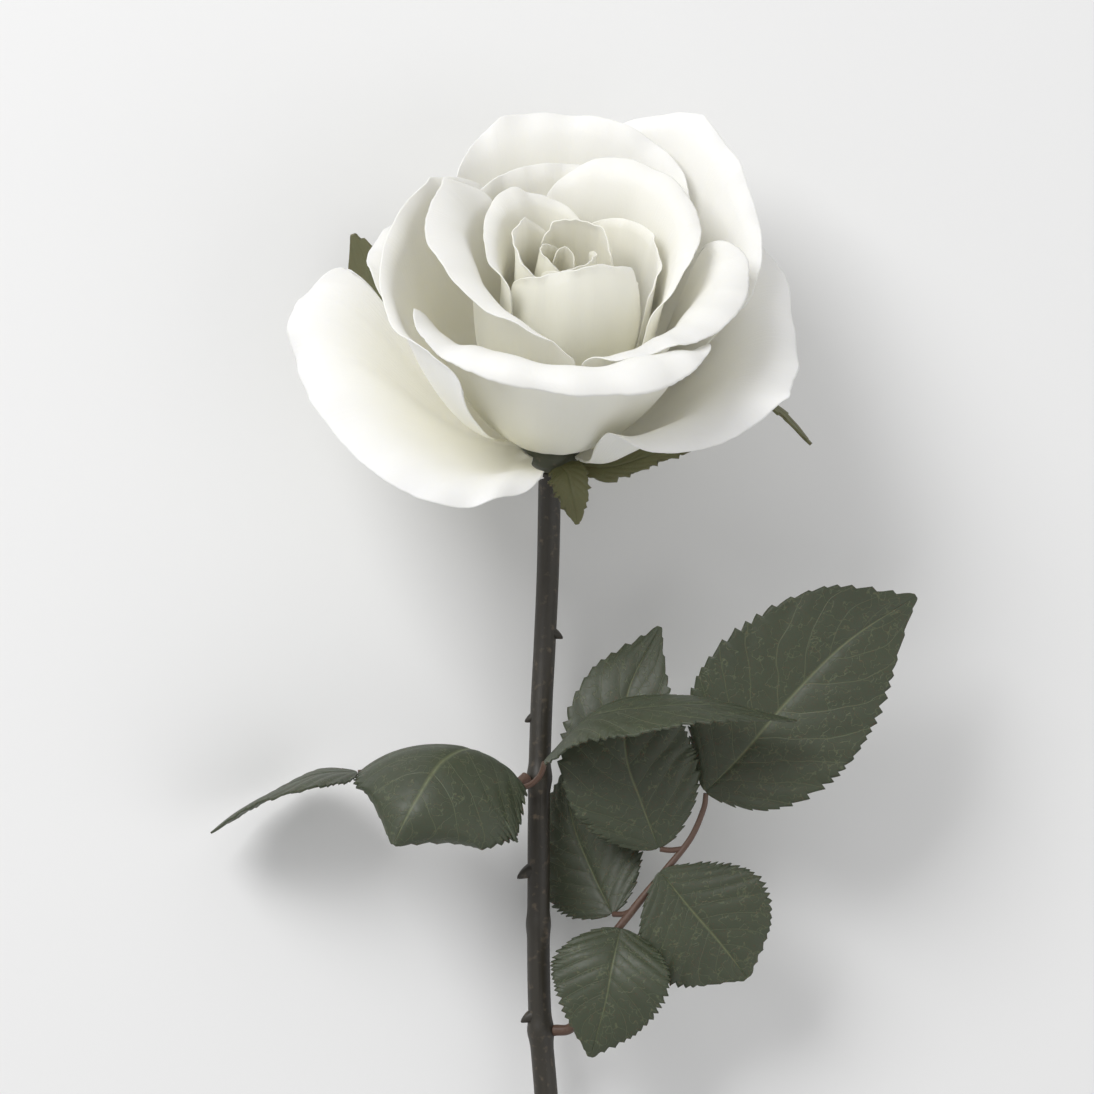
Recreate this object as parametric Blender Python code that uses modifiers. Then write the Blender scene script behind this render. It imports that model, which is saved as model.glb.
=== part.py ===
"""Cut garden rose, lying on its back: an open white bloom on a leafy, thorny stem.

Every petal, sepal and leaflet is a sheet with its own surface rule, thickened with
Solidify. The stem, the hip and the leaf stalks are tubes and turned shapes.

The shapes are written in the rose's own frame, in which the origin is the base of the
hip, +Y runs up the stem to the bloom and +Z is the side that faces up. An empty,
"cut_rose", holds them all and lays the rose down on the plane z = 0.

Run it with: blender --background --python part.py
"""

import bmesh
import bpy
import numpy as np
from mathutils import Matrix, Vector

MM = 0.001
FLOWER_RADIUS = 0.054  # radii in the petal table are parts of this
FLOWER_HEIGHT = 0.0635  # heights in the petal table are parts of this
FLOWER_TILT = np.radians(36)  # the bloom looks up from the stem by this
FLOWER_LEAN = np.radians(3)
PETAL_THICKNESS = 0.0005
LEAF_THICKNESS = 0.0005
SEPAL_THICKNESS = 0.0006
SEAT_GAP = 0.0003  # between pieces that touch
STEM_LENGTH_MM = 240
LIE_PITCH = np.radians(1.938)  # turns the rose until bloom and stem end both touch
LIE_ROLL = np.radians(-9.112)
LIE_SHIFT = (-0.002694, 0.080160, 0.022858)

AXIS = np.array(
    [
        np.sin(FLOWER_LEAN),
        np.cos(FLOWER_LEAN) * np.cos(FLOWER_TILT),
        np.cos(FLOWER_LEAN) * np.sin(FLOWER_TILT),
    ]
)
BACK = np.array([0, np.sin(FLOWER_TILT), -np.cos(FLOWER_TILT)])
RIGHT = np.cross(BACK, AXIS)
RIGHT /= np.linalg.norm(RIGHT)
BACK = np.cross(AXIS, RIGHT)


def unit(v):
    return v / np.linalg.norm(v, axis=-1, keepdims=True)


def smooth(values, x):
    """A smooth curve through values spaced evenly over x = 0 to 1."""
    values = np.atleast_1d(np.asarray(values, float))
    x = np.asarray(x, float)
    if len(values) == 1:
        return np.full(x.shape, values[0])
    n = len(values) - 1
    ends = np.concatenate([[2 * values[0] - values[1]], values, [2 * values[-1] - values[-2]]])
    s = np.clip(x * n, 0, n - 1e-9)
    i = s.astype(int)
    f = s - i
    a, b, c, d = (ends[i + k] for k in range(4))
    return b + 0.5 * f * (c - a + f * (2 * a - 5 * b + 4 * c - d + f * (3 * (b - c) + d - a)))


def smooth_points(points, x):
    points = np.asarray(points, float)
    return np.stack([smooth(points[:, k], x) for k in range(points.shape[1])], -1)


# ---------------------------------------------------------------- petals
# rim: the points that the petal's rim passes through, from one side to the other, each
#   (degrees round the bloom, radius, height); 0 is right, 90 back, 180 left, 270 front
# lean: how far the rim leans out; roll and lip: how far and how long the rim curls over
# root: radius and height of the root in mm; spread: the angle at which it leaves the hip
# claw: how narrow the root is; corner: how rounded the shoulders are; pinch: (size, place)
# of a pinched tip; wave: (mm, waves, phase) of the ruffled rim; cells: grid cells


def petal(name, rim, lean=20, roll=30, lip=0.1, root=(4, 8), spread=60, claw=0.5, corner=0.25,
          wave=(0, 3, 0), fullness=0.45, pinch=(0, 0), widen=0.5, neck=0.25, cells=(9, 8)):
    return dict(name=name, rim=rim, lean=lean, roll=roll, lip=lip, root=root, spread=spread,
                claw=claw, corner=corner, wave=wave, fullness=fullness, pinch=pinch,
                widen=widen, neck=neck, cells=cells)


PETALS = [
    petal("heart_petal_1", [(0, .045, .84), (80, .055, .875), (160, .045, .84)],
          lean=-10, roll=0, lip=.02, root=(0.8, 10), spread=10, corner=.2, claw=.8, neck=.35, cells=(5, 5)),
    petal("heart_petal_2", [(100, .08, .85), (180, .095, .89), (265, .085, .85)],
          lean=-8, roll=5, lip=.03, root=(1.6, 10), spread=12, corner=.2, claw=.6, neck=.35, cells=(5, 5)),
    petal("heart_petal_3", [(225, .125, .85), (300, .145, .89), (385, .115, .87)],
          lean=-5, roll=10, lip=.03, root=(2.2, 10), spread=18, corner=.2, claw=.6, neck=.35, cells=(6, 6)),
    petal("heart_petal_4", [(236, .150, .84), (280, .180, .88), (330, .225, .90)],
          lean=-8, roll=10, lip=.03, root=(2.9, 9.7), spread=22, corner=.2, claw=.5, neck=.35, cells=(6, 6)),
    petal("bud_petal_back", [(-5, .20, .88), (45, .175, .915), (90, .15, .92), (135, .13, .87)],
          lean=-10, roll=-15, lip=.05, root=(2.9, 9.5), spread=22, corner=.15, neck=.35, cells=(7, 7)),
    petal("bud_petal_left", [(108, .20, .86), (150, .20, .93), (200, .20, .92), (243, .185, .84)],
          lean=5, roll=20, lip=.04, root=(3.7, 9.3), spread=30, claw=.6, pinch=(.05, -.55), neck=.35, cells=(7, 7)),
    petal("bud_petal_front", [(212, .225, .83), (255, .235, .885), (295, .27, .945), (338, .32, .90)],
          lean=(-8, -8, -15), roll=15, lip=.05, root=(3.6, 9), spread=33, neck=.35, cells=(8, 8)),
    petal("inner_petal_left",
          [(65, .24, .84), (105, .29, .92), (140, .285, .95), (180, .265, .92), (226, .315, .86)],
          lean=(5, 18, 15, 20, 15), roll=(40, 60, 70, 70, 60), lip=(.06, .07, .09, .09, .06),
          root=(4.1, 9), spread=42, neck=.3, cells=(9, 9)),
    petal("inner_petal_right", [(-24, .37, .80), (5, .38, .87), (40, .35, .87), (75, .33, .82)],
          lean=5, roll=20, lip=.05, root=(4.2, 9), spread=45, neck=.35, cells=(8, 8)),
    petal("cup_petal_right",
          [(-36, .44, .78), (-5, .46, .90), (30, .48, .955), (65, .47, .955), (100, .43, .89)],
          lean=(15, 25, 25, 25, 20), roll=(50, 60, 60, 50, 40), lip=(.07, .11, .12, .12, .10),
          root=(5.0, 8.5), spread=52),
    petal("cup_petal_left",
          [(128, .48, .91), (165, .42, .93), (205, .42, .93), (245, .46, .86), (276, .52, .745)],
          lean=(45, 50, 50, 35, 25), roll=(35, 30, 40, 50, 40), lip=(.17, .17, .17, .13, .06),
          root=(5.0, 8.5), spread=50, neck=.15, pinch=(.06, -.75)),
    petal("cup_petal_front_right", [(-80, .50, .735), (-50, .56, .79), (-20, .60, .84), (12, .61, .89)],
          lean=(30, 50, 55, 50), roll=(40, 55, 60, 60), lip=(.08, .15, .18, .18),
          root=(5.4, 8), spread=56, neck=.15),
    petal("cup_petal_back", [(35, .60, .83), (88, .55, .89), (136, .54, .85)],
          lean=15, roll=30, lip=.08, root=(5.4, 8), spread=52),
    petal("cup_petal_front",
          [(205, .63, .76), (225, .61, .755), (247, .62, .79), (275, .64, .80), (303, .66, .79), (324, .70, .775)],
          lean=(40, 50, 45, 45, 45, 35), roll=(60, 70, 110, 115, 110, 90), lip=(.12, .14, .18, .21, .20, .12),
          root=(5.8, 7.5), spread=62, corner=.15, wave=(.8, 3, 0), cells=(11, 10)),
    petal("cup_petal_far_left",
          [(122, .58, .87), (146, .63, .90), (176, .66, .84), (208, .72, .76), (236, .73, .67)],
          lean=(15, 15, 15, 20, 15), roll=(30, 35, 50, 50, 40), lip=(.08, .08, .10, .09, .07),
          root=(5.8, 7.5), spread=64, pinch=(.06, -.5)),
    petal("outer_petal_back", [(42, .70, .88), (72, .76, .94), (103, .77, .955), (135, .66, .84)],
          lean=(25, 30, 30, 20), roll=30, lip=.10, root=(6.2, 7), spread=60, pinch=(.05, .45)),
    petal("outer_petal_back_right", [(2, .76, .74), (28, .80, .88), (55, .88, 1.0), (82, .84, .90)],
          lean=(35, 35, 30, 30), roll=40, lip=.10, root=(6.6, 6.5), spread=64, pinch=(.05, .3)),
    petal("outer_petal_back_left", [(100, .80, .60), (135, .80, .64), (168, .76, .60)],
          lean=45, roll=40, lip=.12, root=(6.6, 6.5), spread=66),
    petal("guard_petal_left",
          [(163, .94, .64), (180, .98, .52), (203, .88, .40), (235, .78, .30), (264, .55, .28)],
          lean=(80, 85, 85, 85, 85), roll=40, lip=.14, root=(7.0, 5.5), spread=78, wave=(1.2, 4, 0),
          cells=(11, 8)),
    petal("guard_petal_right",
          [(-66, .55, .44), (-42, .70, .47), (-16, .82, .54), (8, .85, .63), (34, .88, .70)],
          lean=75, roll=(60, 70, 60, 45, 40), lip=.15, root=(7.0, 5.5), spread=78, pinch=(.08, -.1),
          cells=(10, 8)),
    petal("guard_petal_back", [(52, 1.02, .46), (72, .92, .50), (90, .86, .50), (108, .90, .50), (128, 1.0, .44)],
          lean=(65, 60, 60, 60, 65), roll=40, lip=.12, root=(7.4, 5.0), spread=78, claw=.45),
]


def petal_surface(p, x, up):
    """Points of a petal: x runs 0 to 1 across it, up 0 to 1 from the root to the rim."""
    u = 2 * x - 1
    size, place = p["pinch"]
    edge = 1 - p["corner"] * (1 - np.sqrt(np.clip(1 - np.abs(u) ** 4, 0, 1)))
    t = up * (edge + size * np.exp(-np.abs(u - place) / .1))
    rim = np.array(p["rim"], float)
    azimuth, radius, height = (smooth(rim[:, k], x) for k in range(3))
    radius, height = radius * FLOWER_RADIUS, height * FLOWER_HEIGHT
    lean = np.radians(smooth(p["lean"], x))
    roll = np.radians(smooth(p["roll"], x))
    if size:
        roll = roll * (1 - .8 * np.exp(-((u - place) / .14) ** 2))
    lip = smooth(p["lip"], x) * FLOWER_RADIUS
    root_r, root_h = p["root"][0] * MM, p["root"][1] * MM
    spread = np.radians(p["spread"])
    chord = np.hypot(radius - root_r, height - root_h)
    # A Bezier profile carries the cup up to the bend, and an arc rolls the lip over.
    bend = .8
    s = np.clip(t / bend, 0, 1)
    q = np.clip((t - bend) / (1 - bend), 0, 2)
    pull, neck = p["fullness"] * chord, p["neck"] * chord
    b0, b1, b2, b3 = (1 - s) ** 3, 3 * s * (1 - s) ** 2, 3 * s * s * (1 - s), s ** 3
    r = (b0 * root_r + b1 * (root_r + pull * np.sin(spread))
         + b2 * (radius - neck * np.sin(lean)) + b3 * radius)
    h = (b0 * root_h + b1 * (root_h + pull * np.cos(spread))
         + b2 * (height - neck * np.cos(lean)) + b3 * height)
    k = np.where(np.abs(roll) < 1e-3, 1e-3, roll)
    r = r + lip / k * (np.cos(lean) - np.cos(lean + k * q))
    h = h + lip / k * (np.sin(lean + k * q) - np.sin(lean))
    width = p["claw"] + (1 - p["claw"]) * np.sin(np.pi / 2 * np.clip(t / p["widen"], 0, 1)) ** .8
    middle = smooth(rim[:, 0], np.array([.5]))[0]
    turn = np.radians(middle + (azimuth - middle) * width)
    amount, waves, phase = p["wave"]
    ruffle = amount * MM * t ** 4 * (
        np.sin(np.pi * waves * u + phase) + .4 * np.sin(2.3 * np.pi * waves * u + 1 + phase))
    r = r + ruffle * np.cos(lean + k * q)
    h = h - ruffle * np.sin(lean + k * q)
    return ((r * np.cos(turn))[..., None] * RIGHT + (r * np.sin(turn))[..., None] * BACK
            + h[..., None] * AXIS)


# ---------------------------------------------------------------- leaves and sepals
# rib: points of the midrib in mm, base to tip; face: the way the upper side looks at
# evenly spaced places along it; width: half width in mm; fold and droop: the angles at
# which the two halves leave the rib and bend; widest: where it is widest; tip and base:
# half widths in mm at the two ends


def leaflet(name, rib, face, width, fold=8, droop=10, widest=.45, tip=.5, base=.6, cells=(4, 8)):
    return dict(name=name, rib=rib, face=face, width=width, fold=fold, droop=droop,
                widest=widest, tip=tip, base=base, cells=cells)


LEAFLETS = [
    leaflet("leaflet_tip", [(35, -73.4, 2), (43, -65, 5), (53, -53, 7), (66, -40, 7.5), (82, -29.5, 4)],
            [(-.25, .1, 1), (-.1, 0, 1), (.1, -.1, 1)], 19.5, fold=9, droop=8, widest=.47),
    leaflet("leaflet_right_upper",
            [(24.3, -86, 2), (20.5, -76, 4), (17, -65, 4.5), (17.5, -51, 3), (24.7, -36.5, -2)],
            [(.0, -.1, 1), (0, 0, 1), (-.3, .35, 1)], 15.2, fold=8, droop=10, widest=.42),
    leaflet("leaflet_right_lower", [(14, -101, -2), (9.5, -92, -6.5), (5.5, -82, -9), (3, -70, -11)],
            [(-.1, 0, 1), (-.35, .1, 1), (-.4, .3, 1)], 12.5, fold=6, droop=10, widest=.42),
    leaflet("leaflet_left_upper", [(24.7, -91.3, 2.9), (31.5, -99.7, 3.4), (38, -107.2, 3), (44.3, -115.3, 1.5)],
            [(.1, .1, 1), (0, 0, 1), (0, -.1, 1)], 16.2, fold=6, droop=8, widest=.5, tip=1),
    leaflet("leaflet_left_lower", [(15.8, -104.2, 3.1), (13.9, -112, 7.4), (12.2, -121, 7.6), (9, -132.7, 4.4)],
            [(-.1, .1, 1), (-.15, 0, 1), (-.1, -.2, 1)], 13.3, fold=10, droop=12, widest=.42),
    leaflet("side_leaflet_front", [(-17, -70, 3), (-17.5, -63.5, 12), (-24, -66, 22), (-30, -75, 28), (-34.5, -84, 28)],
            [(.1, 1, .15), (-.1, .6, .8), (-.1, .25, 1)], 24, fold=-4, droop=28, widest=.5, cells=(6, 10)),
    leaflet("side_leaflet_far", [(-43.4, -69, 5), (-52, -69.5, 6.5), (-61, -73, 6.5), (-69, -77.5, 5), (-76, -82.6, 3)],
            [(.1, 1, .12), (-.1, 1, .05), (-.5, 1, -.05)], 14, fold=4, droop=8, widest=.42),
    leaflet("side_leaflet_right",
            [(-1.0, -66.2, 6), (9, -56.5, 15), (21, -54, 20), (36, -53.5, 22), (54.5, -57, 19)],
            [(-.4, .9, .35), (0, 1, .33), (.15, 1, .2)], 12, fold=5, droop=14, widest=.45, cells=(4, 10)),
]

SEPALS = [
    leaflet("sepal_front", [(2.5, -.5, 8.2), (4, -2.5, 10.5), (5, -7, 12), (6, -13.5, 12.5)],
            [(0, .5, 1), (0, .1, 1), (0, -.1, 1)], 4.2, fold=4, droop=6, widest=.4, base=2.4, tip=.3, cells=(2, 6)),
    leaflet("sepal_right", [(7.3, 3.6, .2), (22, 5.0, -1.5), (41, 13, 1), (50, 13, 2), (58.5, 4.5, 4)],
            [(-.2, 1, .5), (0, 1, .5), (.3, 1, .4)], 2.6, fold=4, droop=6, widest=.25, base=2.4, tip=.3, cells=(2, 9)),
    leaflet("sepal_front_right", [(6.8, -.4, 4.9), (14, -.6, 6.4), (24, 2.4, 7), (35, 4.6, 8)],
            [(-.2, .6, 1), (0, .5, 1), (0, .3, 1)], 3.0, fold=4, droop=6, widest=.3, base=2.4, tip=.3, cells=(2, 7)),
    leaflet("sepal_left", [(-6.3, 4.4, -1.2), (-22, 15, -9), (-36, 34, -9), (-44.5, 52, -3)],
            [(.3, .7, -1), (.5, 0, -1), (.3, -.2, -1)], 6.2, fold=4, droop=6, widest=.72, base=2.4, tip=.5, cells=(2, 8)),
    leaflet("sepal_back", [(.3, 6.0, -4.0), (1, 10, -12), (0, 19, -18), (-3, 30, -18.5)],
            [(0, -.6, -1), (0, -.1, -1), (0, .3, -1)], 4.0, fold=4, droop=6, widest=.35, base=2.4, tip=.3, cells=(2, 7)),
]


def leaf_surface(l, x, v):
    """Points of a leaflet: x runs -1 to 1 across it, v 0 to 1 from base to tip."""
    rib = np.asarray(l["rib"], float) * MM
    middle = smooth_points(rib, v)
    step = 1e-3
    along = unit(smooth_points(rib, np.clip(v + step, 0, 1)) - smooth_points(rib, np.clip(v - step, 0, 1)))
    face = smooth_points(l["face"], v)
    face = unit(face - (face * along).sum(-1, keepdims=True) * along)
    side = np.cross(along, face)
    shaped = v ** (np.log(.5) / np.log(l["widest"]))
    ends = (l["base"] * (1 - v) + l["tip"] * v) * MM
    width = ends + (l["width"] * MM - ends) * np.sin(np.pi * shaped) ** .75
    across = np.abs(x) * width
    angle = np.radians(l["fold"]) - np.radians(l["droop"]) * np.abs(x)
    return (middle + (np.sign(x) * across * np.cos(angle))[..., None] * side
            + (across * np.sin(angle))[..., None] * face)


# ---------------------------------------------------------------- stem and stalks
STEM_PATH = [(0, -1.2, -.9), (-.2, -10, -4.2), (-.5, -24, -6.3), (-1.2, -40, -6.2), (-2, -56, -5), (-2.5, -75, -4),
             (-2.6, -95, -3.5), (-2.6, -112, -4), (-2.2, -126, -5), (-1, -141, -6.3), (.5, -160, -8), (2, -185, -10),
             (2.5, -212, -11.5), (2.2, -STEM_LENGTH_MM, -12.5)]
STEM_RADII = [2.6, 2.5, 2.5, 2.6, 2.7, 2.8, 2.9]
# Each thorn: (y along the stem in mm, degrees round it with 0 right and 90 up, length, root radius)
THORNS = [(-37.5, 10, 2.2, 1.3), (-56.5, 175, 1.8, 1.2), (-91, 172, 3.4, 1.7), (-123.8, 165, 2.6, 1.5),
          (-152, 20, 4.2, 2.0), (-171, 190, 3.8, 1.9), (-196, 75, 4.0, 2.0), (-219, 200, 3.4, 1.8)]
# The swollen rings where a leaf grows or grew: (y in mm, extra radius in mm)
NODES = [(-70.5, .45), (-103.5, .3), (-127.6, .5), (-180, .45), (-228, .35)]

LEAF_RACHIS = [(.9, -127.6, -4.6), (5, -126.6, -2.6), (10, -119.5, 0), (13, -108, 1), (19, -99.5, 1.5), (26, -91, 1.5),
               (31.5, -84, 1.5), (34.4, -77.5, 1.5), (35, -73.8, 2)]
LEAF_STALKS = [[(18.4, -100.2, 1.4), (16.5, -101, .3), (14.3, -101.2, -1.6)],
               [(29.8, -86.3, 1.4), (27, -86.6, 1.6), (24.7, -86.3, 1.9)]]
SIDE_RACHIS = [(-5.25, -70.5, -2.05), (-7.4, -72.4, -.2), (-9.8, -77.0, 4.6), (-13, -74.8, 4), (-20, -71.6, 2.4), (-32, -69, 3),
               (-43, -69, 5)]
SIDE_STALKS = [[(-16, -73.1, 3.3), (-16.9, -71.8, 3.1), (-17, -70.4, 3)],
               [(-7.6, -73.0, .2), (-4.4, -71.8, 2.6), (-2.2, -69.6, 4.6), (-1.2, -66.7, 5.8)]]


def stem_axis(y):
    """The stem's middle line at this y, in metres."""
    path = np.array(STEM_PATH, float)
    dense = smooth_points(path, np.linspace(0, 1, 800))
    order = np.argsort(dense[:, 1])
    return np.array([np.interp(y, dense[order, 1], dense[order, k]) for k in range(3)]) * MM


def stem_radius(y):
    x = np.clip(-y / STEM_LENGTH_MM, 0, 1)
    swell = sum(extra * np.exp(-((y - place) / 2.2) ** 2) for place, extra in NODES)
    return (smooth(STEM_RADII, x) + swell) * MM


# ---------------------------------------------------------------- Blender objects


def material(name, color, roughness):
    made = bpy.data.materials.new(name)
    made.use_nodes = True
    surface = made.node_tree.nodes["Principled BSDF"]
    surface.inputs["Base Color"].default_value = (*color, 1)
    surface.inputs["Roughness"].default_value = roughness
    surface.inputs["Metallic"].default_value = 0
    made.diffuse_color = (*color, 1)
    return made


def place(obj, collection, parent, look):
    collection.objects.link(obj)
    obj.parent = parent
    obj.data.materials.append(look)
    obj.data.shade_smooth()
    return obj


def sheet(name, surface, cells, thickness):
    """A grid of cells laid on a surface rule, made thick evenly to both sides."""
    shape = bmesh.new()
    bmesh.ops.create_grid(shape, x_segments=cells[0], y_segments=cells[1], size=1)
    shape.verts.ensure_lookup_table()
    flat = np.array([v.co for v in shape.verts])
    for vertex, point in zip(shape.verts, surface(flat[:, 0], flat[:, 1])):
        vertex.co = point
    mesh = bpy.data.meshes.new(name)
    shape.to_mesh(mesh)
    shape.free()
    obj = bpy.data.objects.new(name, mesh)
    thick = obj.modifiers.new("thickness", "SOLIDIFY")
    thick.thickness = thickness
    thick.offset = 0
    return obj


def tube_mesh(name, points, radii, sides):
    """A bevelled curve through points, turned into a mesh with its caps welded on."""
    curve = bpy.data.curves.new(name, "CURVE")
    curve.dimensions = "3D"
    curve.bevel_depth = 1
    curve.bevel_resolution = sides // 2 - 2
    curve.use_fill_caps = True
    line = curve.splines.new("POLY")
    line.points.add(len(points) - 1)
    for spot, point, radius in zip(line.points, points, radii):
        spot.co = (*point, 1)
        spot.radius = radius
    guide = bpy.data.objects.new(name + "_curve", curve)
    bpy.context.scene.collection.objects.link(guide)
    bpy.context.view_layer.update()
    graph = bpy.context.evaluated_depsgraph_get()
    mesh = bpy.data.meshes.new_from_object(guide.evaluated_get(graph))
    shape = bmesh.new()
    shape.from_mesh(mesh)
    bmesh.ops.remove_doubles(shape, verts=shape.verts, dist=1e-5)
    bmesh.ops.recalc_face_normals(shape, faces=shape.faces)
    shape.to_mesh(mesh)
    shape.free()
    bpy.data.objects.remove(guide)
    bpy.data.curves.remove(curve)
    mesh.name = name
    return mesh


def thorn_mesh(name, y, degrees, length, root):
    """A cone that leans up the stem a little, with its root sunk in the stem."""
    shape = bmesh.new()
    bmesh.ops.create_cone(shape, cap_ends=True, segments=8, radius1=root * MM, radius2=.12 * MM,
                          depth=(length + 1.6) * MM)
    turn = np.radians(degrees)
    out = unit(np.array([np.cos(turn), -.28, np.sin(turn)]))
    middle = stem_axis(y) + out * (stem_radius(y) + (length - 1.6) / 2 * MM)
    bmesh.ops.scale(shape, vec=(.62, 1, 1), verts=shape.verts)
    # The cone's wide side runs along the stem.
    across = unit(np.cross([0, 1, 0], out))
    wide = np.cross(out, across)
    turned = Matrix([[across[k], wide[k], out[k], middle[k]] for k in range(3)] + [[0, 0, 0, 1]])
    bmesh.ops.transform(shape, matrix=turned, verts=shape.verts)
    bmesh.ops.recalc_face_normals(shape, faces=shape.faces)
    mesh = bpy.data.meshes.new(name)
    shape.to_mesh(mesh)
    shape.free()
    return mesh


def join_to(obj, meshes, cutters, parent):
    """Joins the meshes to the object with exact Boolean unions."""
    for mesh in meshes:
        other = bpy.data.objects.new(mesh.name, mesh)
        cutters.objects.link(other)
        other.parent = parent
        other.hide_render = True
        other.display_type = "WIRE"
        union = obj.modifiers.new("join " + mesh.name, "BOOLEAN")
        union.operation = "UNION"
        union.solver = "EXACT"
        union.object = other


def hip(name):
    """The swollen hip under the bloom, turned about the bloom's axis, petals seated on its top."""
    profile = [(0, 9.3), (2.0, 9.3), (2.6, 8.9), (3.7, 8.4), (4.5, 7.85), (4.9, 7.4), (5.3, 6.9), (5.7, 6.35),
               (6.05, 5.8), (6.4, 4.9), (6.6, 4.2), (6.45, 3.4), (5.7, 2.2), (4.6, 1.1), (3.4, .2), (2.6, -.5), (0, -.5)]
    outline = bpy.data.meshes.new(name)
    outline.from_pydata([(r * MM, 0, h * MM) for r, h in profile], [(i, i + 1) for i in range(len(profile) - 1)], [])
    obj = bpy.data.objects.new(name, outline)
    turned = obj.modifiers.new("turn", "SCREW")
    turned.steps = turned.render_steps = 20
    turned.use_merge_vertices = True
    turned.merge_threshold = 1e-5
    turned.use_smooth_shade = True
    obj.matrix_local = Matrix([[RIGHT[k], BACK[k], AXIS[k], 0] for k in range(3)] + [[0, 0, 0, 1]])
    return obj


def main():
    for obj in list(bpy.data.objects):
        bpy.data.objects.remove(obj)
    rose = bpy.data.collections.new("cut_rose")
    bpy.context.scene.collection.children.link(rose)
    cutters = bpy.data.collections.new("cutters")
    bpy.context.scene.collection.children.link(cutters)
    lie = bpy.data.objects.new("cut_rose", None)
    rose.objects.link(lie)
    lie.location = LIE_SHIFT
    lie.rotation_euler = (LIE_PITCH, LIE_ROLL, 0)

    white = material("white_petal", (.86, .86, .80), .6)
    green = material("leaf_green", (.062, .080, .048), .5)
    olive = material("sepal_olive", (.095, .095, .035), .6)
    bark = material("stem_bark", (.035, .028, .020), .5)
    russet = material("leaf_stalk_russet", (.070, .032, .024), .5)
    hip_green = material("hip_green", (.045, .050, .025), .55)

    for p in PETALS:
        obj = sheet(p["name"], lambda x, y, p=p: petal_surface(p, (x + 1) / 2, (y + 1) / 2), p["cells"], PETAL_THICKNESS)
        place(obj, rose, lie, white)
    for group, look, thickness in ((LEAFLETS, green, LEAF_THICKNESS), (SEPALS, olive, SEPAL_THICKNESS)):
        for l in group:
            obj = sheet(l["name"], lambda x, y, l=l: leaf_surface(l, x, .5 - .5 * np.cos(np.pi * (y + 1) / 2)),
                        l["cells"], thickness)
            place(obj, rose, lie, look)

    y = -np.concatenate([np.linspace(1.2, 60, 14), np.linspace(66, 75, 5), np.linspace(82, 120, 6),
                         np.linspace(124, 131, 4), np.linspace(138, STEM_LENGTH_MM, 13)])
    points = np.array([stem_axis(spot) for spot in y])
    stem = place(bpy.data.objects.new("stem", tube_mesh("stem", points, stem_radius(y), 10)), rose, lie, bark)
    join_to(stem, [thorn_mesh(f"thorn_{i}", *thorn) for i, thorn in enumerate(THORNS, 1)], cutters, lie)

    for name, path, radii, stalks in (("leaf_rachis", LEAF_RACHIS, [1.3, 1.0, .9, .7, .6], LEAF_STALKS),
                                      ("side_rachis", SIDE_RACHIS, [1.5, 1.1, .9, .8, .6], SIDE_STALKS)):
        x = np.linspace(0, 1, 30)
        mesh = tube_mesh(name, smooth_points(path, x) * MM, smooth(radii, x) * MM, 8)
        obj = place(bpy.data.objects.new(name, mesh), rose, lie, russet)
        x = np.linspace(0, 1, 7)
        join_to(obj, [tube_mesh(f"{name}_stalk_{i}", smooth_points(stalk, x) * MM, np.full(7, .65 * MM), 6)
                      for i, stalk in enumerate(stalks, 1)], cutters, lie)
    place(hip("hip"), rose, lie, hip_green)


main()
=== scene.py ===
import bpy
import numpy as np
from mathutils import Matrix


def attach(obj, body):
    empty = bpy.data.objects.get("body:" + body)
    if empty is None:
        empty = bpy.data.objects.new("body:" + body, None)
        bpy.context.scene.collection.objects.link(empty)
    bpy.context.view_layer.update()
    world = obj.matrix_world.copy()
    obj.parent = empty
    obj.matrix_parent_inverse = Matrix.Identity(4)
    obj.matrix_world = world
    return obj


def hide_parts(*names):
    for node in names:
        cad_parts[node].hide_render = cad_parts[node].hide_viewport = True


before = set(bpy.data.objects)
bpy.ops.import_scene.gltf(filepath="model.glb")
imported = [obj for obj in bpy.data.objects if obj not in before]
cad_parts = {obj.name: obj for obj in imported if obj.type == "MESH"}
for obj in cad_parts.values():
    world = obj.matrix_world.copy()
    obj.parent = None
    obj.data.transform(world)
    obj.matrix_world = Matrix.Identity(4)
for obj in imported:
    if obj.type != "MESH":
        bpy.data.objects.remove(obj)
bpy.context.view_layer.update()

bl_info = {
    "name": "Cut rose",
    "version": (1, 0, 0),
    "blender": (4, 5, 0),
    "location": "View3D > Sidebar > Rose",
    "description": "Builds the petals, leaves, sepals and stem of a cut rose",
    "category": "Add Mesh",
}

MM = 0.001
FLOWER_RADIUS = 0.054  # radii in the petal table are parts of this
FLOWER_HEIGHT = 0.0635  # heights in the petal table are parts of this
FLOWER_TILT = np.radians(36)
FLOWER_LEAN = np.radians(3)
STEM_LENGTH_MM = 240
LIE_PITCH = np.radians(1.938)  # turns the rose until bloom and stem end both touch
LIE_ROLL = np.radians(-9.112)
LIE_SHIFT = (-0.002694, 0.080160, 0.022858)

# AXIS runs up the bloom from the hip; RIGHT and BACK are square to it.
AXIS = np.array([
    np.sin(FLOWER_LEAN),
    np.cos(FLOWER_LEAN) * np.cos(FLOWER_TILT),
    np.cos(FLOWER_LEAN) * np.sin(FLOWER_TILT),
])
BACK = np.array([0, np.sin(FLOWER_TILT), -np.cos(FLOWER_TILT)])
RIGHT = np.cross(BACK, AXIS)
RIGHT /= np.linalg.norm(RIGHT)
BACK = np.cross(AXIS, RIGHT)
LIE = Matrix.LocRotScale(
    LIE_SHIFT, Matrix.Rotation(LIE_ROLL, 3, "Y") @ Matrix.Rotation(LIE_PITCH, 3, "X"), None)
LIE_ARRAY = np.array(LIE)


def laid(points):
    """Turns and shifts points from the rose's own frame to where it lies."""
    return points @ LIE_ARRAY[:3, :3].T + LIE_ARRAY[:3, 3]


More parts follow.
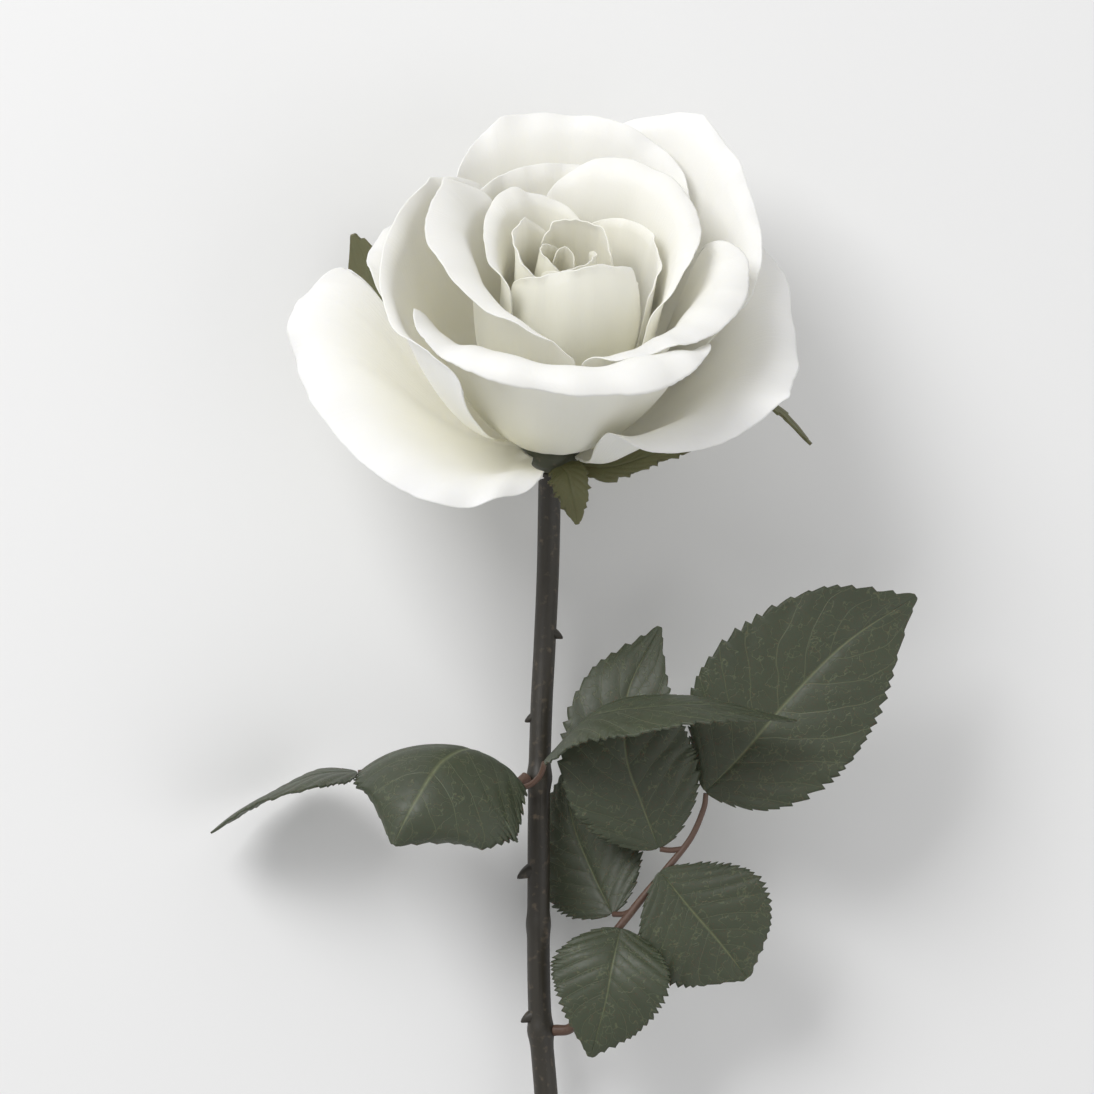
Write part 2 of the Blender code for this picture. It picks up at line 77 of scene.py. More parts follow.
def unit(v):
    """Each vector at length 1."""
    return v / np.maximum(np.linalg.norm(v, axis=-1, keepdims=True), 1e-12)


def smooth(values, x):
    """A Catmull-Rom curve through values spaced evenly over x = 0 to 1."""
    values = np.atleast_1d(np.asarray(values, float))
    x = np.asarray(x, float)
    if len(values) == 1:
        return np.full(x.shape, values[0])
    n = len(values) - 1
    ends = np.concatenate([[2 * values[0] - values[1]], values, [2 * values[-1] - values[-2]]])
    s = np.clip(x * n, 0, n - 1e-9)
    i = s.astype(int)
    f = s - i
    a, b, c, d = (ends[i + k] for k in range(4))
    return b + 0.5 * f * (c - a + f * (2 * a - 5 * b + 4 * c - d + f * (3 * (b - c) + d - a)))


def smooth_points(points, x):
    """The same curve through points."""
    points = np.asarray(points, float)
    return np.stack([smooth(points[:, k], x) for k in range(points.shape[1])], -1)


# ---------------------------------------------------------------- petals
# rim: the points that the petal's rim passes through, from one side to the other, each
#   (degrees round the bloom, radius, height); 0 is right, 90 back, 180 left, 270 front
# lean: how far the rim leans out; roll and lip: how far and how long the rim curls over
# root: radius and height of the root in mm; spread: the angle at which it leaves the hip
# claw: how narrow the root is; corner: how rounded the shoulders are; neck: how straight
#   the profile runs into the rim
# pinch: (size, place from -1 to 1 across) of a pinched tip
# wave: (mm, waves) of the ruffled rim


PETAL_GRID = (121, 91)  # points across and up
FULLNESS = .45  # how far the profile keeps its first direction, as a part of its chord
WIDEN = .5  # how far up the root reaches its full width
BEND = .8  # how far up the lip begins to roll
PINCH_REACH, PINCH_FLAT = .1, .14  # half widths of a pinched tip and of its flatter lip
FRAY = .0045  # how far single threads of the rim fall short
RIM_THINNING = .55
RUFFLES = ((5, 1), (11, .6), (23, .35))  # (waves, size)


def petal(name, rim, lean=20, roll=30, lip=0.1, root=(4, 8), spread=60, claw=0.5, corner=0.25,
          wave=(0, 3), pinch=(0, 0), neck=0.25):
    return dict(name=name, rim=rim, lean=lean, roll=roll, lip=lip, root=root, spread=spread,
                claw=claw, corner=corner, wave=wave, pinch=pinch, neck=neck)


PETALS = [
    petal("heart_petal_1", [(0, .045, .84), (80, .055, .875), (160, .045, .84)],
          lean=-10, roll=0, lip=.02, root=(0.8, 10), spread=10, corner=.2, claw=.8, neck=.35),
    petal("heart_petal_2", [(100, .08, .85), (180, .095, .89), (265, .085, .85)],
          lean=-8, roll=5, lip=.03, root=(1.6, 10), spread=12, corner=.2, claw=.6, neck=.35),
    petal("heart_petal_3", [(225, .125, .85), (300, .145, .89), (385, .115, .87)],
          lean=-5, roll=10, lip=.03, root=(2.2, 10), spread=18, corner=.2, claw=.6, neck=.35),
    petal("heart_petal_4", [(236, .150, .84), (280, .180, .88), (330, .225, .90)],
          lean=-8, roll=10, lip=.03, root=(2.9, 9.7), spread=22, corner=.2, claw=.5, neck=.35),
    petal("bud_petal_back", [(-5, .20, .88), (45, .175, .915), (90, .15, .92), (135, .13, .87)],
          lean=-10, roll=-15, lip=.05, root=(2.9, 9.5), spread=22, corner=.15, neck=.35),
    petal("bud_petal_left", [(108, .20, .86), (150, .20, .93), (200, .20, .92), (243, .185, .84)],
          lean=5, roll=20, lip=.04, root=(3.7, 9.3), spread=30, claw=.6, pinch=(.05, -.55),
          neck=.35),
    petal("bud_petal_front", [(212, .225, .83), (255, .235, .885), (295, .27, .945),
                              (338, .32, .90)],
          lean=(-8, -8, -15), roll=15, lip=.05, root=(3.6, 9), spread=33, neck=.35),
    petal("inner_petal_left",
          [(65, .24, .84), (105, .29, .92), (140, .285, .95), (180, .265, .92), (226, .315, .86)],
          lean=(5, 18, 15, 20, 15), roll=(40, 60, 70, 70, 60), lip=(.06, .07, .09, .09, .06),
          root=(4.1, 9), spread=42, neck=.3),
    petal("inner_petal_right", [(-24, .37, .80), (5, .38, .87), (40, .35, .87), (75, .33, .82)],
          lean=5, roll=20, lip=.05, root=(4.2, 9), spread=45, neck=.35),
    petal("cup_petal_right",
          [(-36, .44, .78), (-5, .46, .90), (30, .48, .955), (65, .47, .955), (100, .43, .89)],
          lean=(15, 25, 25, 25, 20), roll=(50, 60, 60, 50, 40), lip=(.07, .11, .12, .12, .10),
          root=(5.0, 8.5), spread=52),
    petal("cup_petal_left",
          [(128, .48, .91), (165, .42, .93), (205, .42, .93), (245, .46, .86), (276, .52, .745)],
          lean=(45, 50, 50, 35, 25), roll=(35, 30, 40, 50, 40), lip=(.17, .17, .17, .13, .06),
          root=(5.0, 8.5), spread=50, neck=.15, pinch=(.06, -.75)),
    petal("cup_petal_front_right", [(-80, .50, .735), (-50, .56, .79), (-20, .60, .84),
                                    (12, .61, .89)],
          lean=(30, 50, 55, 50), roll=(40, 55, 60, 60), lip=(.08, .15, .18, .18),
          root=(5.4, 8), spread=56, neck=.15),
    petal("cup_petal_back", [(35, .60, .83), (88, .55, .89), (136, .54, .85)],
          lean=15, roll=30, lip=.08, root=(5.4, 8), spread=52),
    petal("cup_petal_front",
          [(205, .63, .76), (225, .61, .755), (247, .62, .79), (275, .64, .80), (303, .66, .79),
           (324, .70, .775)],
          lean=(40, 50, 45, 45, 45, 35), roll=(60, 70, 110, 115, 110, 90),
          lip=(.12, .14, .18, .21, .20, .12),
          root=(5.8, 7.5), spread=62, corner=.15, wave=(.8, 3)),
    petal("cup_petal_far_left",
          [(122, .58, .87), (146, .63, .90), (176, .66, .84), (208, .72, .76), (236, .73, .67)],
          lean=(15, 15, 15, 20, 15), roll=(30, 35, 50, 50, 40), lip=(.08, .08, .10, .09, .07),
          root=(5.8, 7.5), spread=64, pinch=(.06, -.5)),
    petal("outer_petal_back", [(42, .70, .88), (72, .76, .94), (103, .77, .955), (135, .66, .84)],
          lean=(25, 30, 30, 20), roll=30, lip=.10, root=(6.2, 7), spread=60, pinch=(.05, .45)),
    petal("outer_petal_back_right", [(2, .76, .74), (28, .80, .88), (55, .88, 1.0),
                                     (82, .84, .90)],
          lean=(35, 35, 30, 30), roll=40, lip=.10, root=(6.6, 6.5), spread=64, pinch=(.05, .3)),
    petal("outer_petal_back_left", [(100, .80, .60), (135, .80, .64), (168, .76, .60)],
          lean=45, roll=40, lip=.12, root=(6.6, 6.5), spread=66),
    petal("guard_petal_left",
          [(163, .94, .64), (180, .98, .52), (203, .88, .40), (235, .78, .30), (264, .55, .28)],
          lean=(80, 85, 85, 85, 85), roll=40, lip=.14, root=(7.0, 5.5), spread=78, wave=(1.2, 4)),
    petal("guard_petal_right",
          [(-66, .55, .44), (-42, .70, .47), (-16, .82, .54), (8, .85, .63), (34, .88, .70)],
          lean=75, roll=(60, 70, 60, 45, 40), lip=.15, root=(7.0, 5.5),
          spread=78, pinch=(.08, -.1)),
    petal("guard_petal_back", [(52, 1.02, .46), (72, .92, .50), (90, .86, .50), (108, .90, .50),
                               (128, 1.0, .44)],
          lean=(65, 60, 60, 60, 65), roll=40, lip=.12, root=(7.4, 5.0), spread=78, claw=.45),
]


def petal_surface(p, x, up):
    """Points of a petal: x runs 0 to 1 across it, up 0 to 1 from the root to the rim."""
    u = 2 * x - 1
    size, place = p["pinch"]
    edge = 1 - p["corner"] * (1 - np.sqrt(np.clip(1 - np.abs(u) ** 4, 0, 1)))
    t = up * (edge + size * np.exp(-np.abs(u - place) / PINCH_REACH))
    rim = np.array(p["rim"], float)
    azimuth, radius, height = (smooth(rim[:, k], x) for k in range(3))
    radius, height = radius * FLOWER_RADIUS, height * FLOWER_HEIGHT
    lean = np.radians(smooth(p["lean"], x))
    roll = np.radians(smooth(p["roll"], x))
    if size:
        roll = roll * (1 - .8 * np.exp(-((u - place) / PINCH_FLAT) ** 2))
    lip = smooth(p["lip"], x) * FLOWER_RADIUS
    root_r, root_h = p["root"][0] * MM, p["root"][1] * MM
    spread = np.radians(p["spread"])
    chord = np.hypot(radius - root_r, height - root_h)
    # A Bezier profile carries the cup up to the bend, and an arc rolls the lip over.
    s = np.clip(t / BEND, 0, 1)
    q = np.clip((t - BEND) / (1 - BEND), 0, 2)
    pull, neck = FULLNESS * chord, p["neck"] * chord
    b0, b1, b2, b3 = (1 - s) ** 3, 3 * s * (1 - s) ** 2, 3 * s * s * (1 - s), s ** 3
    r = (b0 * root_r + b1 * (root_r + pull * np.sin(spread))
         + b2 * (radius - neck * np.sin(lean)) + b3 * radius)
    h = (b0 * root_h + b1 * (root_h + pull * np.cos(spread))
         + b2 * (height - neck * np.cos(lean)) + b3 * height)
    k = np.where(np.abs(roll) < 1e-3, 1e-3, roll)
    r = r + lip / k * (np.cos(lean) - np.cos(lean + k * q))
    h = h + lip / k * (np.sin(lean + k * q) - np.sin(lean))
    width = p["claw"] + (1 - p["claw"]) * np.sin(np.pi / 2 * np.clip(t / WIDEN, 0, 1)) ** .8
    middle = smooth(rim[:, 0], np.array([.5]))[0]
    turn = np.radians(middle + (azimuth - middle) * width)
    amount, waves = p["wave"]
    ruffle = amount * MM * t ** 4 * (
        np.sin(np.pi * waves * u) + .4 * np.sin(2.3 * np.pi * waves * u + 1))
    r = r + ruffle * np.cos(lean + k * q)
    h = h - ruffle * np.sin(lean + k * q)
    return ((r * np.cos(turn))[..., None] * RIGHT + (r * np.sin(turn))[..., None] * BACK
            + h[..., None] * AXIS)


# ---------------------------------------------------------------- leaves and sepals
# rib: points of the midrib in mm, base to tip; face: the way the upper side looks at
# evenly spaced places along it; width: half width in mm; fold and droop: the angles at
# which the two halves leave the rib and bend; widest: where it is widest; tip and base:
# half widths in mm at the two ends

LEAF_GRID, SEPAL_GRID = (45, 241), (25, 121)  # points across and along
VEINS = 8.0  # side veins on each half
VEIN_SLANT = .30  # how far along the leaf a vein has run when it reaches the margin


def leaflet(name, rib, face, width, fold=8, droop=10, widest=.45, tip=.5, base=.6):
    return dict(name=name, rib=rib, face=face, width=width, fold=fold, droop=droop,
                widest=widest, tip=tip, base=base)


LEAFLETS = [
    leaflet("leaflet_tip", [(35, -73.4, 2), (43, -65, 5), (53, -53, 7), (66, -40, 7.5),
                            (82, -29.5, 4)],
            [(-.25, .1, 1), (-.1, 0, 1), (.1, -.1, 1)], 19.5, fold=9, droop=8, widest=.47),
    leaflet("leaflet_right_upper",
            [(24.3, -86, 2), (20.5, -76, 4), (17, -65, 4.5), (17.5, -51, 3), (24.7, -36.5, -2)],
            [(.0, -.1, 1), (0, 0, 1), (-.3, .35, 1)], 15.2, fold=8, droop=10, widest=.42),
    leaflet("leaflet_right_lower", [(14, -101, -2), (9.5, -92, -6.5), (5.5, -82, -9),
                                    (3, -70, -11)],
            [(-.1, 0, 1), (-.35, .1, 1), (-.4, .3, 1)], 12.5, fold=6, droop=10, widest=.42),
    leaflet("leaflet_left_upper", [(24.7, -91.3, 2.9), (31.5, -99.7, 3.4), (38, -107.2, 3),
                                   (44.3, -115.3, 1.5)],
            [(.1, .1, 1), (0, 0, 1), (0, -.1, 1)], 16.2, fold=6, droop=8, widest=.5, tip=1),
    leaflet("leaflet_left_lower", [(15.8, -104.2, 3.1), (13.9, -112, 7.4), (12.2, -121, 7.6),
                                   (9, -132.7, 4.4)],
            [(-.1, .1, 1), (-.15, 0, 1), (-.1, -.2, 1)], 13.3, fold=10, droop=12, widest=.42),
    leaflet("side_leaflet_front", [(-17, -70, 3), (-17.5, -63.5, 12), (-24, -66, 22),
                                   (-30, -75, 28), (-34.5, -84, 28)],
            [(.1, 1, .15), (-.1, .6, .8), (-.1, .25, 1)], 24, fold=-4, droop=28, widest=.5),
    leaflet("side_leaflet_far", [(-43.4, -69, 5), (-52, -69.5, 6.5), (-61, -73, 6.5),
                                 (-69, -77.5, 5), (-76, -82.6, 3)],
            [(.1, 1, .12), (-.1, 1, .05), (-.5, 1, -.05)], 14, fold=4, droop=8, widest=.42),
    leaflet("side_leaflet_right",
            [(-1.0, -66.2, 6), (9, -56.5, 15), (21, -54, 20), (36, -53.5, 22), (54.5, -57, 19)],
            [(-.4, .9, .35), (0, 1, .33), (.15, 1, .2)], 12, fold=5, droop=14, widest=.45),
]

SEPALS = [
    leaflet("sepal_front", [(2.5, -.5, 8.2), (4, -2.5, 10.5), (5, -7, 12), (6, -13.5, 12.5)],
            [(0, .5, 1), (0, .1, 1), (0, -.1, 1)],
            4.2, fold=4, droop=6, widest=.4, base=2.4, tip=.3),
    leaflet("sepal_right", [(7.3, 3.6, .2), (22, 5.0, -1.5), (41, 13, 1), (50, 13, 2),
                            (58.5, 4.5, 4)],
            [(-.2, 1, .5), (0, 1, .5), (.3, 1, .4)],
            2.6, fold=4, droop=6, widest=.25, base=2.4, tip=.3),
    leaflet("sepal_front_right", [(6.8, -.4, 4.9), (14, -.6, 6.4), (24, 2.4, 7), (35, 4.6, 8)],
            [(-.2, .6, 1), (0, .5, 1), (0, .3, 1)],
            3.0, fold=4, droop=6, widest=.3, base=2.4, tip=.3),
    leaflet("sepal_left", [(-6.3, 4.4, -1.2), (-22, 15, -9), (-36, 34, -9), (-44.5, 52, -3)],
            [(.3, .7, -1), (.5, 0, -1), (.3, -.2, -1)],
            6.2, fold=4, droop=6, widest=.72, base=2.4, tip=.5),
    leaflet("sepal_back", [(.3, 6.0, -4.0), (1, 10, -12), (0, 19, -18), (-3, 30, -18.5)],
            [(0, -.6, -1), (0, -.1, -1), (0, .3, -1)],
            4.0, fold=4, droop=6, widest=.35, base=2.4, tip=.3),
]


# ---------------------------------------------------------------- stem and stalks
STEM_PATH = [(0, -1.2, -.9), (-.2, -10, -4.2), (-.5, -24, -6.3), (-1.2, -40, -6.2), (-2, -56, -5),
             (-2.5, -75, -4),
             (-2.6, -95, -3.5), (-2.6, -112, -4), (-2.2, -126, -5), (-1, -141, -6.3),
             (.5, -160, -8), (2, -185, -10),
             (2.5, -212, -11.5), (2.2, -STEM_LENGTH_MM, -12.5)]
STEM_RADII = [2.6, 2.5, 2.5, 2.6, 2.7, 2.8, 2.9]
# Each thorn: (y along the stem in mm, degrees round it with 0 right and 90 up, length in
# mm, root radius in mm)
THORNS = [(-37.5, 10, 2.2, 1.3), (-56.5, 175, 1.8, 1.2), (-91, 172, 3.4, 1.7),
          (-123.8, 165, 2.6, 1.5),
          (-152, 20, 4.2, 2.0), (-171, 190, 3.8, 1.9), (-196, 75, 4.0, 2.0), (-219, 200, 3.4, 1.8)]
THORN_SUNK = 1.0  # mm of a thorn inside the stem
# The swollen rings where a leaf grows or grew: (y in mm, extra radius in mm)
NODES = [(-70.5, .45), (-103.5, .3), (-127.6, .5), (-180, .45), (-228, .35)]
NODE_LENGTH = 2.2
STEM_ROWS, RACHIS_ROWS, STALK_ROWS = 420, 140, 40
STALK_RADIUS = .65

LEAF_RACHIS = [(.9, -127.6, -4.6), (5, -126.6, -2.6), (10, -119.5, 0), (13, -108, 1),
               (19, -99.5, 1.5), (26, -91, 1.5),
               (31.5, -84, 1.5), (34.4, -77.5, 1.5), (35, -73.8, 2)]
LEAF_STALKS = [[(18.4, -100.2, 1.4), (16.5, -101, .3), (14.3, -101.2, -1.6)],
               [(29.8, -86.3, 1.4), (27, -86.6, 1.6), (24.7, -86.3, 1.9)]]
SIDE_RACHIS = [(-5.25, -70.5, -2.05), (-7.4, -72.4, -.2), (-9.8, -77.0, 4.6), (-13, -74.8, 4),
               (-20, -71.6, 2.4), (-32, -69, 3),
               (-43, -69, 5)]
SIDE_STALKS = [[(-16, -73.1, 3.3), (-16.9, -71.8, 3.1), (-17, -70.4, 3)],
               [(-7.6, -73.0, .2), (-4.4, -71.8, 2.6), (-2.2, -69.6, 4.6), (-1.2, -66.7, 5.8)]]


def stem_axis(y):
    """The stem's middle line at this y, in metres."""
    path = np.array(STEM_PATH, float)
    dense = smooth_points(path, np.linspace(0, 1, 800))
    order = np.argsort(dense[:, 1])
    return np.array([np.interp(y, dense[order, 1], dense[order, k]) for k in range(3)]) * MM


def stem_radius(y):
    """The stem's radius at this y, swollen at each leaf ring, in metres."""
    x = np.clip(-y / STEM_LENGTH_MM, 0, 1)
    swell = sum(extra * np.exp(-((y - place) / NODE_LENGTH) ** 2) for place, extra in NODES)
    return (smooth(STEM_RADII, x) + swell) * MM


# The hip's outline as (radius, height along AXIS) in mm, top to bottom
HIP_ROWS, HIP_SIDES = 90, 64
HIP_PROFILE = [(0, 9.3), (2.0, 9.3), (2.6, 8.9), (3.7, 8.4), (4.5, 7.85), (4.9, 7.4), (5.3, 6.9),
               (5.7, 6.35),
               (6.05, 5.8), (6.4, 4.9), (6.6, 4.2), (6.45, 3.4), (5.7, 2.2), (4.6, 1.1), (3.4, .2),
               (2.6, -.5), (0, -.5)]


# ---------------------------------------------------------------- meshes


def mesh_piece(name, points, faces, uv, marks, looks, node):
    """One object at the origin from arrays of points and faces, with a UV and float marks
    at each point."""
    mesh = bpy.data.meshes.new(name)
    mesh.from_pydata(laid(points), [], faces)
    layer = mesh.uv_layers.new(name="UVMap")
    corners = np.empty(len(mesh.loops), np.int32)
    mesh.loops.foreach_get("vertex_index", corners)
    layer.data.foreach_set("uv", uv[corners].astype(np.float32).ravel())
    for key, values in marks.items():
        mark = mesh.attributes.new(key, "FLOAT", "POINT")
        mark.data.foreach_set("value", values.astype(np.float32))
    mesh.shade_smooth()
    piece = bpy.data.objects.new(name, mesh)
    bpy.context.scene.collection.objects.link(piece)
    mesh.materials.append(looks)
    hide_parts(node)
    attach(piece, "root")
    return piece


def grid_faces(rows, columns, wrap=False):
    """Quads of a grid of points, numbered row by row; wrap closes each row on itself."""
    index = np.arange(rows * columns).reshape(rows, columns)
    if wrap:
        index = np.concatenate([index, index[:, :1]], 1)
    corners = [index[:-1, :-1], index[:-1, 1:], index[1:, 1:], index[1:, :-1]]
    return np.stack(corners, -1).reshape(-1, 4)


def sheet_shell(surface, thickness):
    """A closed thin shell: the surface moved half the thickness along its normal to each
    side, the normal being the cross product of its two tangents, joined round the border."""
    rows, columns, _ = surface.shape
    normal = unit(np.cross(np.gradient(surface, axis=1), np.gradient(surface, axis=0)))
    half = thickness[..., None] / 2 * normal
    points = np.concatenate([(surface + half).reshape(-1, 3), (surface - half).reshape(-1, 3)])
    upper = grid_faces(rows, columns)
    count = rows * columns
    index = np.arange(count).reshape(rows, columns)
    ring = np.concatenate([index[0, :-1], index[:-1, -1], index[-1, :0:-1], index[:0:-1, 0]])
    after = np.roll(ring, -1)
    border = np.stack([after, ring, ring + count, after + count], -1)
    return points, np.concatenate([upper, upper[:, ::-1] + count, border])


def tube(path, radii, sides):
    """A closed tube: circles of the given radii square to the path, and at each end a flat
    cap of shrinking circles. Returns its points, faces and UV."""
    along = unit(np.gradient(path, axis=0))
    reference = np.array([1.0, 0, 0]) if abs(along[:, 0]).mean() < .6 else np.array([0, 0, 1.0])
    side = unit(np.cross(along, reference))
    other = np.cross(along, side)
    angle = np.linspace(0, 2 * np.pi, sides, endpoint=False)
    cap = np.array([0, .55, .85, 1])
    ends = np.concatenate([cap, np.ones(len(path) - 2), cap[::-1]])
    rows = np.concatenate([[0, 0, 0], np.arange(len(path)), [len(path) - 1] * 3])
    radius = (radii[rows] * ends)[:, None, None]
    ring = (np.cos(angle)[None, :, None] * side[rows][:, None]
            + np.sin(angle)[None, :, None] * other[rows][:, None])
    points = path[rows][:, None] + radius * ring
    faces = grid_faces(len(rows), sides, wrap=True)[:, ::-1]
    steps = np.linalg.norm(np.diff(path, axis=0), axis=1)
    length = np.concatenate([[0], np.cumsum(steps)])[rows]
    # The UV runs once round the tube and, along it, by 1 each 10 mm.
    uv = np.stack(np.broadcast_arrays(
        angle[None, :] / (2 * np.pi), length[:, None] / MM / 10), -1).reshape(-1, 2)
    return points.reshape(-1, 3), faces, uv


def joined(shells):
    """Several (points, faces, uv) as one."""
    starts = np.cumsum([0] + [len(points) for points, _, _ in shells[:-1]])
    faces = [tuple(face) for shell, start in zip(shells, starts) for face in shell[1] + start]
    return np.concatenate([s[0] for s in shells]), faces, np.concatenate([s[2] for s in shells])


def petal_piece(p, number, looks, rose):
    """A petal: its surface rule with a slightly frayed rim, moved along its normal by ruffle *
    (0.40 up^6 * three sines across + 0.20 folds + 0.35 up^4 * creases). Its cream mark grows
    towards the root and the heart, partly the petals' own cream and partly painted warm shade deep
    in the bloom, and "under" is 1 on the inner side."""
    columns, rows = PETAL_GRID
    random = np.random.default_rng(number)
    u = np.sin(np.linspace(-1, 1, columns) * np.pi / 2)
    t = np.linspace(0, 1, rows)
    x, up = np.meshgrid((u + 1) / 2, t)
    fray = np.convolve(random.random(columns + 2), [.3, .4, .3], "valid")
    fray = fray * random.choice([.3, 1, 1.6], columns)
    up = up * (1 - FRAY * fray[None, :] * up ** 12)
    surface = petal_surface(p, x, up)
    normal = unit(np.cross(np.gradient(surface, axis=1), np.gradient(surface, axis=0)))
    outer = np.clip(p["root"][0] / 7, 0, 1)
    phase = random.random(6) * 2 * np.pi
    v = 2 * x - 1
    ruffle = sum(size * np.sin(waves * v + start) for (waves, size), start in zip(RUFFLES, phase))
    arch = np.sin(np.pi * up)
    fold = (np.sin(6 * v + 3 * up + phase[3]) * arch
            + .5 * np.sin(13 * v + 2 * up + phase[4]) * arch)
    crease = np.abs(np.sin(4.2 * v + phase[5])) ** .6 - .6
    height = rose.ruffle * outer * (up ** 6 * ruffle * .40 + .20 * fold + .35 * up ** 4 * crease)
    surface = surface + height[..., None] * normal
    thickness = rose.petal_thickness * (1 - RIM_THINNING * up ** 3)
    points, faces = sheet_shell(surface, thickness)
    uv = np.stack([x, up], -1).reshape(-1, 2)
    # partly painted shade: cream grows towards the root and the heart, partly the petals' own
    # cream and partly warm shade deep in the bloom
    cream_and_shade_amount = (.50 - .49 * outer) + (.50 - .02 * outer) * (1 - up)
    marks = {"cream_and_painted_shade": np.tile(cream_and_shade_amount.ravel(), 2), "under": np.repeat([0, 1], rows * columns)}
    return mesh_piece(p["name"], points, faces, np.concatenate([uv, uv]), marks,
                      looks, p["name"])


def leaf_rule(leaf, x, v, teeth, tooth, pucker):
    """A leaflet: half width is sin(pi v')^0.75 between the base and tip widths, drawn in to
    a point, with saw teeth at the margin; the two halves fold up from the rib, and the
    veins are shallow grooves."""
    rib = np.asarray(leaf["rib"], float) * MM
    middle = smooth_points(rib, v)
    step = 1e-3
    along = unit(smooth_points(rib, np.clip(v + step, 0, 1))
                 - smooth_points(rib, np.clip(v - step, 0, 1)))
    face = smooth_points(leaf["face"], v)
    face = unit(face - (face * along).sum(-1, keepdims=True) * along)
    side = np.cross(along, face)
    shaped = v ** (np.log(.5) / np.log(leaf["widest"]))
    ends = (leaf["base"] * (1 - v) + leaf["tip"] * v) * MM
    swell = np.sin(np.pi * shaped) ** .75
    point = 1 - .55 * np.clip((v - .80) / .20, 0, 1) ** 1.6
    width = ends + (leaf["width"] * MM - ends) * swell * point
    saw = (v * teeth + .35 * np.sin(9 * v + np.sign(x)) + .2 * np.sin(31 * v)) % 1
    uneven = .75 + .35 * np.sin(17 * v + 2 * np.sign(x))
    fade = np.clip(5 * swell * point, 0, 1)
    width = width + tooth * MM * (saw - .5) * uneven * np.abs(x) ** 8 * fade
    across = np.abs(x) * width
    angle = np.radians(leaf["fold"]) - np.radians(leaf["droop"]) * np.abs(x)
    vein = ((v - VEIN_SLANT * np.abs(x)) * VEINS + .95) % 1 - .5
    groove = (-.22 * np.exp(-(x / .05) ** 2) - .05 * np.exp(-(vein / .12) ** 2)
              - .09 * np.cos(2 * np.pi * vein) * np.abs(x) + .30 * np.sin(7 * v + 2 * x) * x ** 2)
    lift = pucker * MM * groove * swell
    return (middle + (np.sign(x) * across * np.cos(angle))[..., None] * side
            + (across * np.sin(angle) + lift)[..., None] * face)


def leaf_piece(leaf, looks, slot, teeth, tooth, pucker, thickness):
    """One leaflet or sepal, its rows closer together at the two ends. The side that the
    face vectors point to is the upper one; the mark "under" is 1 on the other."""
    columns, rows = LEAF_GRID if slot == "leaf" else SEPAL_GRID
    v = .5 - .5 * np.cos(np.pi * np.linspace(0, 1, rows))
    v = .35 * v + .65 * np.linspace(0, 1, rows)
    v, x = np.meshgrid(v, np.linspace(-1, 1, columns), indexing="ij")
    surface = leaf_rule(leaf, x, v, teeth, tooth, pucker)
    points, faces = sheet_shell(surface, np.full(x.shape, thickness * MM))
    uv = np.stack([x / 2 + .5, v], -1).reshape(-1, 2)
    under = np.repeat([0, 1], x.size)
    return mesh_piece(leaf["name"], points, faces, np.concatenate([uv, uv]), {"under": under},
                      looks, leaf["name"])


def thorn(y, degrees, length, root):
    """A hooked thorn: rings that shrink as (1 - s)^0.7 along a line that bends down the
    stem by s squared."""
    turn = np.radians(degrees)
    out = unit(np.array([np.cos(turn), -.28, np.sin(turn)]))
    s = np.linspace(0, 1, 14)
    start = stem_axis(y) + out * (stem_radius(y) - THORN_SUNK * MM)
    hook = s[:, None] ** 2 * np.array([0, -.25 * length * MM, 0])
    path = start + s[:, None] * out * (.75 * length + THORN_SUNK) * MM + hook
    return tube(path, 1.1 * root * MM * (1 - s) ** .7 + .1 * MM, 16)


# ---------------------------------------------------------------- materials


class Value:
    """A node socket that can be used in sums."""

    def __init__(self, look, socket):
        self.look, self.socket = look, socket

    def math(self, operation, *others):
        inputs = dict(enumerate((self,) + others))
        return self.look.add("ShaderNodeMath", {"operation": operation}, inputs)

    def __add__(self, other):
        return self.math("ADD", other)

    def __mul__(self, other):
        return self.math("MULTIPLY", other)

    def __sub__(self, other):
        return self.math("SUBTRACT", other)

    def __rsub__(self, other):
        return self.math("MULTIPLY_ADD", -1.0, other)

    def __truediv__(self, other):
        return self.math("DIVIDE", other)

    def __mod__(self, other):
        return self.math("MODULO", other)

    def __abs__(self):
        return self.math("ABSOLUTE")

    __radd__, __rmul__ = __add__, __mul__

    def line(self, width):
        """1 where the value is 0, falling to 0 this far from it."""
        return (1 - abs(self) / width).math("MAXIMUM", 0.0)


